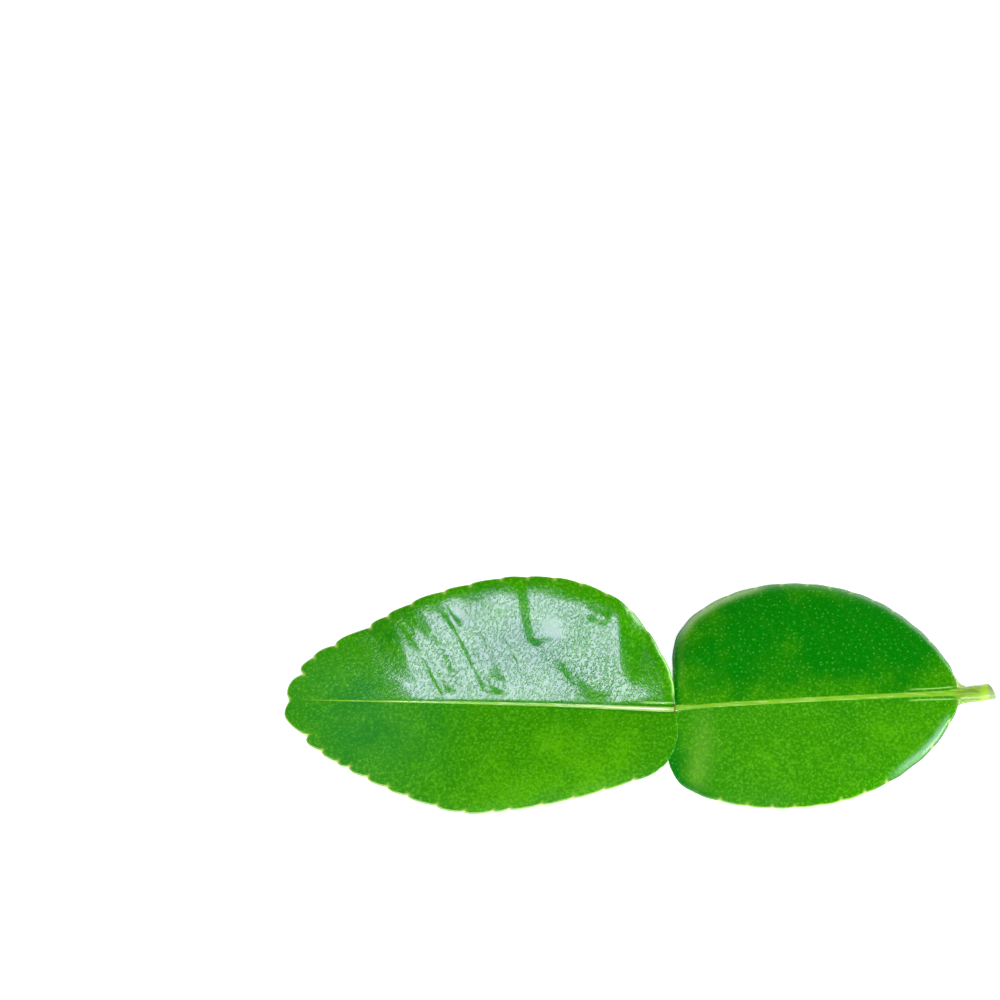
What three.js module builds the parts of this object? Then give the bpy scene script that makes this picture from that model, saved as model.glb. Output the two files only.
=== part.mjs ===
// A makrut lime leaf (Citrus hystrix), as picked, lying on its underside.
//
// The leaf has a toothed blade, a broad winged petiole almost as large as the blade, and a
// short stub of stalk. A raised midrib runs under all three. It grew as one piece, so it is
// one solid: a row of cross-sections from the tip to the cut end of the stalk, skinned into
// one closed body.
//
// Millimetres, +Z up. The shape is drawn from the joint scar, where blade meets wing: the tip
// lies towards -X and the stalk towards +X. The finished leaf is then moved so that its origin
// is the middle of its bounding box, at the bottom.

import * as THREE from 'three';

// ---- driving dimensions ----

const LAMINA_THICKNESS = 0.35;
const BLADE_LENGTH = 64.3;        // from the joint scar to the tip
const WING_LENGTH = 48.6;         // from the joint scar to where the wing ends on the stalk
const STALK_END = 52.5;           // distance of the cut end from the joint scar
const CUT_SLANT = 0.5;            // the cut end leans by this much length for each mm of width
const NECK = 0.15;                // blade and wing each stop this far from the joint scar
const FLARE_START = 46;           // the wing begins to thicken into the stalk here
const TIP_NOTCH = 0.8;            // depth of the small notch in the very tip

// The midrib seen from above and its height, from the tip to the cut end: [x, y, z].
const MIDRIB = [
  [-64.3, 1.2, 1.35], [-50, 1.1, 0.85], [-36, 0.85, 0.75], [-22, 0.4, 0.95], [-9, -0.15, 1.55],
  [0, -0.55, 2.1], [9, 0.0, 2.3], [24, 0.9, 2.4], [38, 1.6, 2.35], [48.6, 2.2, 2.3],
  [53.8, 3.0, 2.3],
];

// The rib under the leaf, and the stalk: [x, half its width, its whole depth].
const RIB_SIZE = [
  [-64.3, 0.2, 0.45], [-50, 0.3, 0.6], [-30, 0.45, 0.8], [-8, 0.6, 1.1], [0, 0.75, 1.25],
  [8, 0.6, 1.1], [25, 0.7, 1.3], [40, 0.85, 1.6], [46, 1.0, 1.9], [48.6, 1.4, 2.2],
  [51, 1.35, 2.3], [53.8, 1.3, 2.4],
];

// Edges of the four half laminae: distance along the midrib from the joint scar, and
// distance out from the midrib. Far is the +Y side. Near the joint only a narrow gap
// parts the blade from the wing.
const BLADE_FAR = [
  [NECK, 0.8], [0.3, 3.2], [0.7, 6.2], [3.9, 13.2], [8.7, 17.9], [17, 21.0], [27, 21.25],
  [37, 19.1], [43, 17.0], [48, 14.8], [57.5, 9.8], [62.8, 4.7], [64.3, 0.6],
];
const BLADE_NEAR = [
  [NECK, 0.8], [0.18, 3.7], [0.95, 7.8], [3.3, 11.1], [8.5, 13.5], [17.5, 16.5], [27, 18.6],
  [35, 19.3], [43.5, 16.9], [52.5, 12.7], [60, 7.9], [63.9, 3.6], [64.3, 0.6],
];
const WING_FAR = [
  [NECK, 0.8], [0.2, 5.8], [0.5, 12.3], [3.7, 17.3], [10.5, 21.0], [18.5, 22.15],
  [27.5, 21.05], [35.5, 17.7], [42, 11.8], [45.6, 6.1], [46.5, 3.1], [47.4, 1.9], [48.6, 1.4],
];
const WING_NEAR = [
  [NECK, 0.8], [0.3, 3.9], [-0.25, 6.9], [-0.8, 9.7], [1.1, 13.5], [8, 16.7], [17, 18.15],
  [26.5, 17.35], [35, 14.1], [41.8, 9.3], [45.6, 4.3], [46.6, 2.3], [47.4, 1.75], [48.6, 1.4],
];

// Teeth of the blade, from the tip: [length along the edge, depth of the notch that ends it].
// The rest of the edge, down to the base, is divided evenly into shallow teeth.
const FAR_TEETH = [
  [5.2, 1.2], [3.4, 0.3], [4.3, 0.75], [6.7, 0.6], [3.3, 0.45], [4.4, 0.4], [5.9, 0.35],
  [4.5, 0.25], [5.3, 0.22],
];
const NEAR_TEETH = [
  [7.7, 1.05], [3.6, 0.45], [3.2, 0.25], [2.1, 0.5], [3.5, 0.45], [3.7, 0.4], [3.6, 0.35],
  [5.0, 0.35], [4.6, 0.3], [4.7, 0.25], [2.7, 0.2],
];
const TEETH = 18;                 // teeth on each side of the blade
const SHALLOW_NOTCH = 0.18;

// How each half lamina is bowed, from the joint scar at 0 to its other end at 1: [station,
// slope beside the midrib, slope at the edge, how late on the way out the slope turns].
// The slopes are in degrees, and a positive one rises outwards.
const BLADE_FAR_BOW = [
  [0, 4, -6, 4], [0.18, 7, -8, 5], [0.27, 12.5, -13, 9], [0.45, 13, -11, 15],
  [0.665, 12.8, -9, 13], [0.72, 12, -6, 3.2], [0.81, 3, -4, 3], [1, 0, -1, 3],
];
const BLADE_NEAR_BOW = [[0, 3, -4, 3], [0.5, 4, -3, 4], [1, 3, -2, 3]];
const WING_FAR_BOW = [
  [0, -1.5, -14, 4], [0.22, -1.5, -25, 4], [0.5, -1.5, -24, 5], [1, -2, -35, 7],
];
const WING_NEAR_BOW = [[0, -1, 1, 3], [0.45, -2, -6, 6], [0.7, -3, -32, 10], [1, -3, -34, 9]];

// ---- resolution ----

const TOOTH_STEPS = [0, 0.3, 0.62, 0.84];           // sections within one tooth, from its base
const WING_SECTIONS = 48;
const STALK_SECTIONS = 5;
const RIB_SHARES = [0, 0.6, 1];                     // points from the midrib to the rib's foot
const LAMINA_SHARES = [0.3, 0.58, 0.8, 0.92, 1];    // points from the rib's foot to the edge

// The veins lean towards the tip: stations on the midrib lag behind those on the edge.
const VEIN_LAG = 1.4;

// ---- curves and heights ----

const spline = (points) => new THREE.CatmullRomCurve3(
  points.map(([x, y, z = 0]) => new THREE.Vector3(x, y, z)), false, 'catmullrom', 0.5);

const curveTable = (points, steps = 600) => spline(points).getSpacedPoints(steps);
const midribTable = curveTable(MIDRIB);
const ribSizeTable = curveTable(RIB_SIZE);

// The point of a table at a given x; the table's x only ever grows.
function pointAtX(table, x) {
  const next = table.findIndex((point) => point.x >= x);
  if (next === 0) return table[0].clone();
  if (next < 0) return table[table.length - 1].clone();
  const [a, b] = [table[next - 1], table[next]];
  return a.clone().lerp(b, (x - a.x) / (b.x - a.x));
}

// A half lamina's slopes and turn at a station between the rows of its table.
function bowAt(table, station) {
  const next = Math.max(1, table.findIndex(([at]) => at >= station));
  const [before, after] = [table[next - 1], table[next]];
  const share = THREE.MathUtils.smoothstep(station, before[0], after[0]);
  const [, inner, outer, turn] = before.map((value, i) => (
    THREE.MathUtils.lerp(value, after[i], share)));
  return { inner, outer, turn };
}

// How high the lamina is above the midrib, at a share of the way out to the edge.
function bowHeight(share, width, { inner, outer, turn }) {
  const start = Math.tan(THREE.MathUtils.degToRad(inner));
  const end = Math.tan(THREE.MathUtils.degToRad(outer));
  return width * (start * share + (end - start) * share ** (turn + 1) / (turn + 1));
}

// ---- edges: where each section meets them, as offsets from the midrib ----

// Where the teeth start and end along an edge, from the base at 0 to the tip at 1.
function toothStations(teeth, edgeLength) {
  const used = teeth.reduce((sum, [length]) => sum + length, 0);
  const rest = TEETH - teeth.length;
  const evenTooth = [(edgeLength - used) / rest, SHALLOW_NOTCH];
  const list = [...teeth, ...Array(rest).fill(evenTooth)];
  let fromTip = 0;
  let tipDepth = TIP_NOTCH;
  const stations = list.map(([length, baseDepth], i) => {
    const isLast = i === TEETH - 1;
    const tip = 1 - fromTip / edgeLength;
    fromTip += length;
    const base = isLast ? 0 : 1 - fromTip / edgeLength;
    const station = { tip, base, tipDepth, baseDepth: isLast ? 0 : baseDepth };
    tipDepth = baseDepth;
    return station;
  });
  return stations.reverse();
}

// A rounded tooth that points to the tip: it swells slowly from its base end, and its nose
// is an elliptical arc that starts at the shoulder and drops into the notch at its tip end.
function toothInset(along, { baseDepth, tipDepth }) {
  const shoulder = 0.62;
  const drop = Math.max(0, (along - shoulder) / (1 - shoulder));
  return baseDepth * (1 - along) ** 2.4 + tipDepth * (1 - Math.sqrt(1 - drop ** 2));
}

function edgePoint(edge, station, inset = 0) {
  const smooth = edge.getPointAt(station);
  const along = edge.getTangentAt(station);
  const inward = new THREE.Vector3(along.y, -along.x, 0);
  return { smooth, cut: smooth.clone().addScaledVector(inward, inset) };
}

function bladeStations() {
  const [far, near] = [spline(BLADE_FAR), spline(BLADE_NEAR)];
  const farTeeth = toothStations(FAR_TEETH, far.getLength());
  const nearTeeth = toothStations(NEAR_TEETH, near.getLength());
  const stationAt = (tooth, along) => {
    const place = ({ base, tip }) => THREE.MathUtils.lerp(base, tip, along);
    const [farTooth, nearTooth] = [farTeeth[tooth], nearTeeth[tooth]];
    return {
      station: (place(farTooth) + place(nearTooth)) / 2,
      far: edgePoint(far, place(farTooth), toothInset(along, farTooth)),
      near: edgePoint(near, place(nearTooth), toothInset(along, nearTooth)),
    };
  };
  const stations = farTeeth.flatMap((_, tooth) => (
    TOOTH_STEPS.map((along) => stationAt(tooth, along))));
  return [...stations, stationAt(TEETH - 1, 1)];
}

function wingStations() {
  const [far, near] = [spline(WING_FAR), spline(WING_NEAR)];
  return Array.from({ length: WING_SECTIONS + 1 }, (_, i) => {
    const station = i / WING_SECTIONS;
    return { station, far: edgePoint(far, station), near: edgePoint(near, station) };
  });
}

// ---- cross-sections ----

// Distances out from the midrib where a half section has its points, as shares of its width.
function sectionShares(ribWidth, width) {
  const foot = Math.min(ribWidth, 0.92 * width) / width;
  const rib = RIB_SHARES.map((share) => share * foot);
  const lamina = LAMINA_SHARES.map((share) => foot + (1 - foot) * share);
  return { foot, shares: [...rib, ...lamina] };
}

// One half of a section, from the midrib out to its edge. Each point has an upper and a lower
// end: the rib bulges below the lamina, and towards the stalk it also rounds off above it.
function halfSection({ middle, edge, side, direction, bow, slant = 0 }) {
  const rim = pointAtX(midribTable, direction * edge.cut.x);
  const out = new THREE.Vector3(
    direction * edge.cut.x - middle.x, rim.y + side * edge.cut.y - middle.y, 0);
  const rib = pointAtX(ribSizeTable, middle.x);
  const { foot, shares } = sectionShares(rib.y, out.length());
  const roundness = THREE.MathUtils.smoothstep(middle.x, FLARE_START, WING_LENGTH);
  return shares.map((share) => {
    const flat = middle.clone().addScaledVector(out, share);
    const reach = share * Math.min(1, edge.cut.y / edge.smooth.y);
    const top = pointAtX(midribTable, flat.x).z + bowHeight(reach, edge.smooth.y, bow);
    const bulge = Math.sqrt(Math.max(0, 1 - (share / foot) ** 2));
    const depth = LAMINA_THICKNESS + (rib.z - LAMINA_THICKNESS) * bulge;
    const z = top - roundness * (rib.z - depth) / 2;
    const x = flat.x - slant * share * out.y;
    return { upper: new THREE.Vector3(x, flat.y, z), lower: new THREE.Vector3(x, flat.y, z - depth) };
  });
}

// A whole section: the near half from its edge inwards, then the far half outwards.
function section(middle, far, near, direction, farBow, nearBow, slant) {
  const common = { middle, direction, slant };
  const nearHalf = halfSection({ ...common, edge: near, side: -1, bow: nearBow });
  const farHalf = halfSection({ ...common, edge: far, side: 1, bow: farBow });
  return [...nearHalf.slice(1).reverse(), ...farHalf];
}

function laminaSections(stations, direction, length, farTable, nearTable) {
  return stations.map(({ station, far, near }) => {
    const along = NECK + (length - NECK) * station ** VEIN_LAG;
    const middle = pointAtX(midribTable, direction * along);
    const bows = [bowAt(farTable, station), bowAt(nearTable, station)];
    return section(middle, far, near, direction, ...bows);
  });
}

// The stub beyond the wing, cut off at a slant.
function stalkSections() {
  const level = { inner: 0, outer: 0, turn: 1 };
  return Array.from({ length: STALK_SECTIONS }, (_, i) => {
    const share = (i + 1) / STALK_SECTIONS;
    const x = THREE.MathUtils.lerp(WING_LENGTH, STALK_END, share);
    const edgeAt = new THREE.Vector3(x, pointAtX(ribSizeTable, x).y, 0);
    const edge = { smooth: edgeAt, cut: edgeAt };
    return section(pointAtX(midribTable, x), edge, edge, 1, level, level, CUT_SLANT * share);
  });
}

// ---- skin ----

// Joins neighbouring sections into one closed body: an upper face, a lower face, a wall
// along each edge, and a wall across each end.
function skin(sections) {
  const across = sections[0].length;
  const count = sections.length * across;
  const upper = (i, j) => i * across + j;
  const lower = (i, j) => count + i * across + j;
  const faces = [];
  const quad = (a, b, c, d) => faces.push(a, b, c, a, c, d);
  const last = sections.length - 1;
  for (let i = 0; i < last; i++) {
    for (let j = 0; j < across - 1; j++) {
      quad(upper(i, j), upper(i + 1, j), upper(i + 1, j + 1), upper(i, j + 1));
      quad(lower(i, j), lower(i, j + 1), lower(i + 1, j + 1), lower(i + 1, j));
    }
    const far = across - 1;
    quad(upper(i, 0), lower(i, 0), lower(i + 1, 0), upper(i + 1, 0));
    quad(upper(i, far), upper(i + 1, far), lower(i + 1, far), lower(i, far));
  }
  for (let j = 0; j < across - 1; j++) {
    quad(upper(0, j), upper(0, j + 1), lower(0, j + 1), lower(0, j));
    quad(upper(last, j), lower(last, j), lower(last, j + 1), upper(last, j + 1));
  }
  const points = [
    ...sections.flat().map((point) => point.upper),
    ...sections.flat().map((point) => point.lower),
  ];
  const geometry = new THREE.BufferGeometry().setFromPoints(points);
  geometry.setIndex(faces);
  geometry.computeVertexNormals();
  return geometry;
}

// ---- the leaf ----

function makeLeaf() {
  const blade = laminaSections(
    bladeStations(), -1, BLADE_LENGTH - TIP_NOTCH, BLADE_FAR_BOW, BLADE_NEAR_BOW);
  const wing = laminaSections(wingStations(), 1, WING_LENGTH, WING_FAR_BOW, WING_NEAR_BOW);
  const geometry = skin([...blade.reverse(), ...wing, ...stalkSections()]);
  geometry.computeBoundingBox();
  const { min, max } = geometry.boundingBox;
  geometry.translate(-(min.x + max.x) / 2, -(min.y + max.y) / 2, -min.z);
  const leafGreen = new THREE.MeshStandardMaterial({
    color: '#3f9a14', roughness: 0.42, metalness: 0,
  });
  const leaf = new THREE.Mesh(geometry, leafGreen);
  leaf.name = 'lime_leaf';
  return leaf;
}

const leafGroup = new THREE.Group();
leafGroup.add(makeLeaf());

export default leafGroup;
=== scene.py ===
import math

import bpy
import numpy as np
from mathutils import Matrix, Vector, noise


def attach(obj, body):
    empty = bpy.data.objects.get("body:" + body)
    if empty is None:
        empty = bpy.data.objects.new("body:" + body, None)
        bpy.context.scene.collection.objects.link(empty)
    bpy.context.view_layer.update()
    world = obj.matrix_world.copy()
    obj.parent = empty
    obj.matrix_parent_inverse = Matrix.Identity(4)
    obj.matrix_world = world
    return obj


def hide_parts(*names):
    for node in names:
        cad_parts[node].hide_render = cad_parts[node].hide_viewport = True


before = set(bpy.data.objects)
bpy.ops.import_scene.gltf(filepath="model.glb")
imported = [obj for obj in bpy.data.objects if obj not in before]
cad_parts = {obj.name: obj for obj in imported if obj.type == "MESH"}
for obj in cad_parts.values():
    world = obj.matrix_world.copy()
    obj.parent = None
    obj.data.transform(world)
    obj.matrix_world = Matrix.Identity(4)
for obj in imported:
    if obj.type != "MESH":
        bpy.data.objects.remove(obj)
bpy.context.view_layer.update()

MM = 0.001

# ---------------------------------------------------------------------------
# The leaf's driving dimensions, in millimetres. It is drawn from the joint
# scar, where blade meets wing: the tip lies towards -X, the stalk towards +X.
# ---------------------------------------------------------------------------

LAMINA_THICKNESS = 0.35
BLADE_LENGTH = 64.3
WING_LENGTH = 48.6
STALK_END = 52.5
CUT_SLANT = 0.5               # the stalk's cut end runs this far back per mm across
NECK = 0.06                   # the two laminae start this far from the joint scar
FLARE_START = 46.0            # the lamina narrows into the round stalk from here
RIB_LIMIT = 0.92              # the rib takes up at most this share of a half's width
STALK_RIB_MORE = 0.075        # and this much more on the stalk
STALK_RIM = 0.06              # thickness left at the stalk's sides
TIP_NOTCH = 0.8               # the tip is notched this deep
STATION_CROWDING = 1.4        # how much closer the sections stand near the joint scar

# The midrib seen from above and its height: x, y, z.
MIDRIB = [
    (-64.3, 1.2, 1.35), (-50, 1.1, 0.85), (-36, 0.85, 0.75), (-22, 0.4, 0.95), (-9, -0.15, 1.55),
    (0, -0.55, 2.1), (9, 0.0, 2.3), (24, 0.9, 2.4), (38, 1.6, 2.35), (48.6, 2.2, 2.3),
    (53.8, 3.0, 2.3),
]

# The rib under the leaf, and the stalk: x, half its width, its whole depth.
RIB_SIZE = [
    (-64.3, 0.2, 0.45), (-50, 0.3, 0.6), (-30, 0.45, 0.8), (-8, 0.6, 1.1), (0, 0.75, 1.25),
    (8, 0.6, 1.1), (25, 0.7, 1.3), (40, 0.85, 1.6), (46, 1.0, 1.9), (48.6, 1.4, 2.2),
    (51, 1.35, 2.3), (53.8, 1.3, 2.4),
]

# Edges of the four half laminae: distance along the midrib from the joint scar, and
# distance out from the midrib. Far is the +Y side.
BLADE_FAR = [
    (NECK, 0.8), (-0.08, 2.8), (0.15, 5.4), (0.95, 7.7), (3.9, 13.2), (8.7, 17.9), (17, 21.0),
    (27, 21.25), (37, 19.1), (43, 17.0), (48, 14.8), (57.5, 9.8), (62.8, 4.7), (64.3, 0.6),
]
BLADE_NEAR = [
    (NECK, 0.8), (-0.3, 1.5), (-0.35, 3.4), (-0.3, 5.6), (0.7, 8.1), (3.2, 11.1), (8.5, 13.5),
    (17.5, 16.5), (27, 18.6), (35, 19.3), (43.5, 16.9), (52.5, 12.7), (60, 7.9), (63.9, 3.6),
    (64.3, 0.6),
]
WING_FAR = [
    (NECK, 0.8), (0.0, 2.9), (-0.15, 5.8), (0.4, 12.3), (3.7, 17.3), (10.5, 21.0), (18.5, 22.15),
    (27.5, 21.05), (35.5, 17.7), (42, 11.8), (45.6, 6.1), (46.5, 3.1), (47.4, 1.9), (48.6, 1.4),
]
WING_NEAR = [
    (NECK, 0.8), (0.15, 3.9), (-1.3, 9.0), (1.1, 13.5), (8, 16.7), (17, 18.15), (26.5, 17.35),
    (35, 14.1), (41.8, 9.3), (45.6, 4.3), (46.6, 2.3), (47.4, 1.75), (48.6, 1.4),
]

# Teeth of the blade, from the tip: length along the edge, depth of the notch that ends it.
# The rest of the edge, down to the base, is divided evenly into shallow teeth.
FAR_TEETH = [
    (5.2, 1.2), (3.4, 0.3), (4.3, 0.75), (6.7, 0.6), (3.3, 0.45), (4.4, 0.4), (5.9, 0.35),
    (4.5, 0.25), (5.3, 0.22),
]
NEAR_TEETH = [
    (7.7, 1.05), (3.6, 0.45), (3.2, 0.25), (2.1, 0.5), (3.5, 0.45), (3.7, 0.4), (3.6, 0.35),
    (5.0, 0.35), (4.6, 0.3), (4.7, 0.25), (2.7, 0.2),
]
TEETH = 18
SHALLOW_NOTCH = 0.18
TOOTH_SHOULDER = 0.62         # where a tooth begins to round off, as a share of its length
TOOTH_SWELL = 2.4             # how quickly it stands out after a notch

# The wing's margin only waves a little.
WING_WAVE_LENGTH = 4.3
WING_WAVE_DEPTH = 0.05
FAR_WAVE_START, NEAR_WAVE_START = 0.3, 1.7
WAVE_DRIFT = (1.4, 9)         # the waves come early and late: by how much, how often
WAVES_START = (0.03, 0.15)    # they come up over this share of the edge
WAVES_END = (0.86, 0.95)      # and fade over this one
WAVE_NOTCH = -0.97            # the bottom of a wave below this is pale like a notch
NO_NOTCH = 2.0                # a distance at which no notch shows

# How each half lamina is bowed, from the joint scar at 0 to its other end at 1: station,
# slope beside the midrib, slope at the edge, how late on the way out the slope turns.
BLADE_FAR_BOW = [
    (0, 4, -6, 4), (0.18, 7, -8, 5), (0.27, 12.5, -13, 9), (0.45, 13, -11, 12.5),
    (0.665, 12.8, -9, 10.5), (0.72, 12, -6, 3.2), (0.81, 3, -4, 3), (1, 0, -1, 3),
]
BLADE_NEAR_BOW = [(0, 3, -4, 3), (0.5, 4, -3, 4), (1, 3, -2, 3)]
WING_FAR_BOW = [(0, -1.5, -14, 4), (0.22, -1.5, -25, 4), (0.5, -1.5, -24, 5), (1, -2, -35, 7)]
WING_NEAR_BOW = [(0, -1, 1, 3), (0.45, -2, -6, 6), (0.7, -3, -32, 10), (1, -3, -34, 9)]

# ---------------------------------------------------------------------------
# Fine relief, in millimetres
# ---------------------------------------------------------------------------

VEIN_SPACING = 7.53           # side veins leave the midrib this far apart
VEIN_START = -14.9            # one of them leaves it here
VEIN_SLANT = 0.45             # and each runs this much towards the tip per mm out
VEIN_CURL = 1.8               # and this much more at the edge
VEIN_WIDTH = 0.26
NEAR_VEIN_LAG = 0.45          # the near half's veins lie this share of the spacing off
NEAR_VEIN_SWAY = (0.12, 2.3)  # and come early and late: by how much, how often
VEIN_FOOT = (0.6, 2.2)        # a vein comes up over this distance from the midrib
VEIN_END = (0.72, 0.95)       # and fades over this share of the way to the edge
VEIN_END_FADE = 0.8           # by this much
VEIN_AT_JOINT = (2.5, 5)      # none starts nearer to the joint scar
WING_VEIN_STRENGTH = 0.4
NEAR_TROUGH = 0.04            # each lies in a trough this deep
FAR_TROUGHS = [0.03, 0.04, 0.03, 0.17, 0.18, 0.05, 0.02, 0.0]    # from the tip to the base
FIRST_TROUGH = -6             # number of the first, counted from the vein at VEIN_START
TROUGH_FOOT = (0.5, 4)        # a trough comes up over this distance from the midrib
TROUGH_SIZE = 1.8
TROUGH_SHIFT = 1.7            # the trough's middle lies this far behind the vein
VEIN_SINK = 0.02              # above, a side vein is a fine sunken line
VEIN_SINK_IN_TROUGH = 0.35    # deeper in a trough, by this share of the trough's depth
VEIN_RIDGE = 0.12             # below, it stands proud
RIPPLE_HEIGHT = 0.07          # slow unevenness of the whole lamina
RIPPLE_SIZE = 9.0
DIMPLE_HEIGHT = 0.012         # and a finer one
DIMPLE_SIZE = 3.2
TROUGH_UNEVENNESS = (0.8, 5.0)      # the troughs deepen and fade: by how much, over what length
CALM_RIM = (0.3, 3.0)         # this relief fades away at the margin
CALM_MIDRIB = (0.5, 2.5)      # and beside the midrib
ROUND_MARGIN = 0.17           # the margin is round over its last bit
BLUNT_EDGE = 0.12             # where this share of the thickness is left
NOTCH_SPOT = (0.35, 0.45)     # pale spot in a notch: reach along the margin, reach inwards

# The midrib above is a low round ridge: x, half its width, on the blade and on the wing.
BLADE_RIDGE = [(-60, 0.10), (-45, 0.17), (-25, 0.25), (-6, 0.36), (0, 0.40)]
WING_RIDGE = [(0, 0.55), (4, 0.34), (25, 0.4), (40, 0.45), (45, 0.5), (47.5, 0.8), (50, 1.1)]
# x, its height as a share of half its width.
RIDGE_HEIGHT = [(-64, 0), (-56, 0.03), (-46, 0.06), (-34, 0.1), (-4, 0.12), (-1, 0.15), (0, 0.11),
                (2, 0.08)]
# x, how far its middle lies off the midrib's line. Below zero is the near side.
RIDGE_SHIFT = [(-20, 0), (-7, -0.2), (-0.3, -0.3), (0, 0)]
# The far lamina climbs a little to it: x, height; x, over what width.
RIDGE_FOOT = [(-50, 0), (-35, 0.06), (-1, 0.07), (0, 0)]
RIDGE_FOOT_WIDTH = [(-20, 0.3), (-5, 0.5)]
RIDGE_END = (47, 50)          # the ridge sinks into the round stalk here

# Fine ridges beside the midrib: x, distance from it; where they start and end, each over a
# stretch.
BLADE_SIDE_RIDGE = [(-10, 0.75), (0, 0.95)]
BLADE_SIDE_RIDGE_START, BLADE_SIDE_RIDGE_END = (-6.5, -4.5), (-0.4, -0.1)
WING_SIDE_RIDGES = [(38, 0.95), (46, 1.1)]
WING_SIDE_RIDGE_START, WING_SIDE_RIDGE_END = (38, 39.5), (45.3, 46.4)
SIDE_RIDGE_WIDTH = 0.1
SIDE_RIDGE_HEIGHT = 0.07
# The thick rim of the blade's base: distance from the margin, width, where it starts along the
# leaf and out from the midrib.
BASE_RIM_INSET, BASE_RIM_WIDTH = 0.3, 0.2
BASE_RIM_START = (-4, -1.5)
BASE_RIM_FOOT = (1.2, 3)
# How far the rim curls down: x, by how much, over what width, on the far and on the near half.
FAR_ROLL = [(-5, 0, 1.3), (-2.5, 0.3, 1.4), (-0.5, 0.34, 1.6), (0.5, 0.1, 1.8), (2, 0.36, 1.9),
            (13, 0.36, 1.9), (17, 0.12, 0.8), (28, 0.12, 0.8), (34, 0.34, 1.2), (45, 0.34, 1.2),
            (46.5, 0, 1.2)]
NEAR_ROLL = [(32, 0, 1.1), (38, 0.34, 1.4), (45, 0.34, 1.3), (46.5, 0, 1.1)]

# Low domes and hollows, then three small blisters: x, y, radius, height.
SWELLS = [
    (-13, 8, 5.5, -0.34), (-6.5, 4, 2.6, 0.16), (-16.5, 17, 2.5, 0.12),
    (-13.3, 15.3, 0.9, 0.15), (-11.5, 14.4, 0.85, 0.14), (-12.4, 17.0, 0.8, 0.1),
]
# How coarse the grain of the skin is: on the blade's far half, elsewhere, more on the stalk.
FULL_GRAIN, FINE_GRAIN, STALK_GRAIN = 1.0, 0.4, 1.4
BLADE_GRAIN_END = (-3, 0)     # it turns finer over this stretch
STALK_GRAIN_START = (46, 48)  # and coarse again over this one
# Spots where it is smoother or, above zero, coarser: x, y, radius, change.
GRAIN_SPOTS = [(-20, 12.8, 1.9, -0.8), (-36, 15, 1.6, -0.8), (-9.5, 16, 1.2, -0.8),
               (-12.5, 4.4, 4.6, 0.55)]
# Painted sheen, a pale haze that stands in for soft reflections on the wing's base and near the
# blade's tip: x, y, half length along x, half length along y, strength.
PAINTED_SHEEN_PATCHES = [(4.6, -6.2, 1.7, 4.6, 0.24), (3.2, -11.5, 1.5, 3.6, 0.3), (-51, -3, 12, 11, 0.15)]
# The same painted sheen along the wing's rims, standing in for rim highlights: x, strength; then its
# distance from the margin and its spread.
FAR_RIM_PAINTED_SHEEN = [(0.5, 0), (3, 0.55), (13, 0.5), (17, 0)]
FAR_RIM_PAINTED_SHEEN_PLACE = (0.9, 0.75)
NEAR_RIM_PAINTED_SHEEN = [(34, 0), (38, 0.5), (43, 0.5), (45.5, 0)]
NEAR_RIM_PAINTED_SHEEN_PLACE = (0.75, 0.48)
RIM_PAINTED_SHEEN_FOOT = (2.5, 5)     # it comes up over this distance from the midrib
# Folds of the blade's far half: both ends, depth, width of the steep side and of the other.
FOLDS = [
    ((-24.7, 21.5), (-23.0, 11.8), 0.21, 1.8, 6.0),
    ((-22.4, 10.8), (-12.5, 2.6), 0.09, 1.9, 4.0),
]

# Where the green is deeper or, below zero, yellower: partly the leaf's own uneven green, partly
# painted shading, deeper as painted shade on the wing's far half and base and yellower as painted
# light on its near half: x, y, radius, strength.
GREEN_AND_SHADING_PATCHES = [
    (30, 12, 13, 1.0), (14, 17, 9, 0.8), (39, 14, 8, 0.5), (6, 9, 6, 0.5), (20, 11, 2.2, -0.4),
    (15, 7, 8, 0.45), (-30, 9, 9, 0.6), (-16, 8, 8, 0.5),
    (20, -9, 14, -0.25), (38, -6, 9, -0.25), (3, -15, 4, 0.5), (-12, -8, 10, -0.4),
    (-38, -8, 8, 0.15), (-30, -17, 9, -0.35), (-53, -3, 12, 0.25), (38, -4, 5, -0.3),
    (-50, 13, 9, 0.25), (0.5, 9, 2.5, 0.7), (0.5, -9, 2.2, 0.6), (-27, -2, 6, -0.3),
    (-16, -15, 5, -0.4),
]

# Along the wing's base margin, beside the blade, a band of painted shade makes the green deeper:
# strength, width, the stretch over which it ends, and on the near half the distance from the midrib
# over which it comes up.
WING_BASE_SHADE = 1.1
WING_BASE_BAND = 0.8
WING_BASE_END = (2, 7)
NEAR_WING_BASE_FOOT = (3.5, 7)

# Distances out from the midrib, as shares: within the rib, and from its foot to the edge.
RIB_SHARES = [0, 0.25, 0.45, 0.62, 0.78, 0.9, 1]
LAMINA_STEPS = 44
RIM_WIDTH = 0.4
MOST_RIM = 0.25               # share of a narrow lamina that the rim may take up
EDGE_STEPS = [0.34, 0.22, 0.13, 0.06, 0.02, 0]      # mm in from the edge, across the rim
# Shares of each tooth's length, then the rows of the wing and of the stalk.
TOOTH_STEPS = [0, 0.1, 0.2, 0.31, 0.42, 0.53, 0.64, 0.74, 0.82, 0.89, 0.94, 0.98]
WING_SECTIONS = 150
STALK_SECTIONS = 22


# ---------------------------------------------------------------------------
# Curves
# ---------------------------------------------------------------------------

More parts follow.
